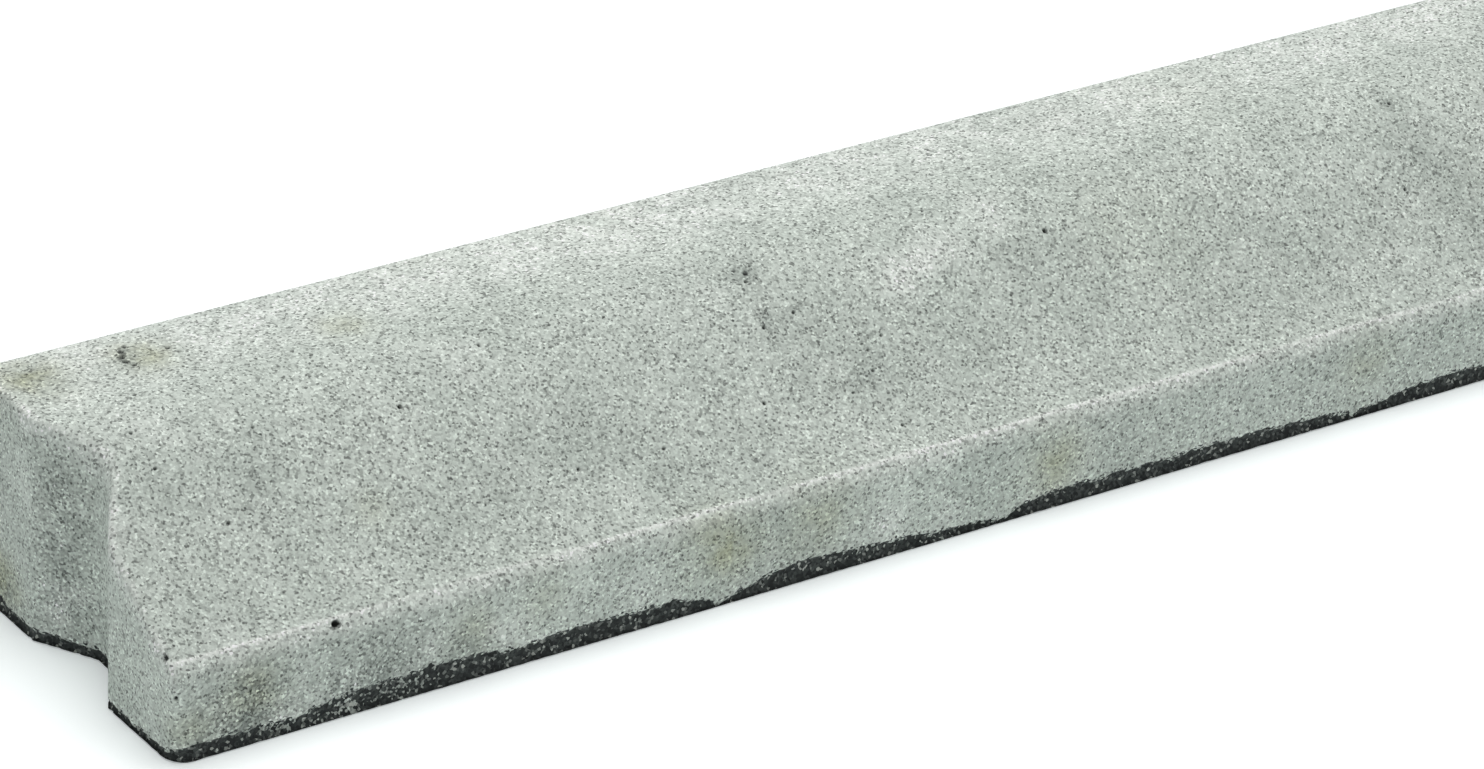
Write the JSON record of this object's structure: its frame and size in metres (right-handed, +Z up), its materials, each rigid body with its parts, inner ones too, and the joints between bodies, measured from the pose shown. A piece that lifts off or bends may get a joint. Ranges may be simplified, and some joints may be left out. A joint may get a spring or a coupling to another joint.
{
  "type": "concrete kerb stone",
  "caption": "One-piece mountable concrete kerb stone: low upright front, S-curved slope up to a flat top, a key groove in one end and its matching tongue on the other.",
  "frame": {"origin": "on the bed, midway between the two end faces and between the front face and the back", "axes": "+X along the stone, from the grooved end to the tongue end; +Y from the low front face to the back; +Z up"},
  "size_m": [1.015, 0.2, 0.122],
  "materials": {
    "concrete": "cast, matt, fine-grained, with a coarse dark band along the bed"
  },
  "bodies": {
    "root": {"kerb_stone": "concrete"}
  },
  "joints": []
}
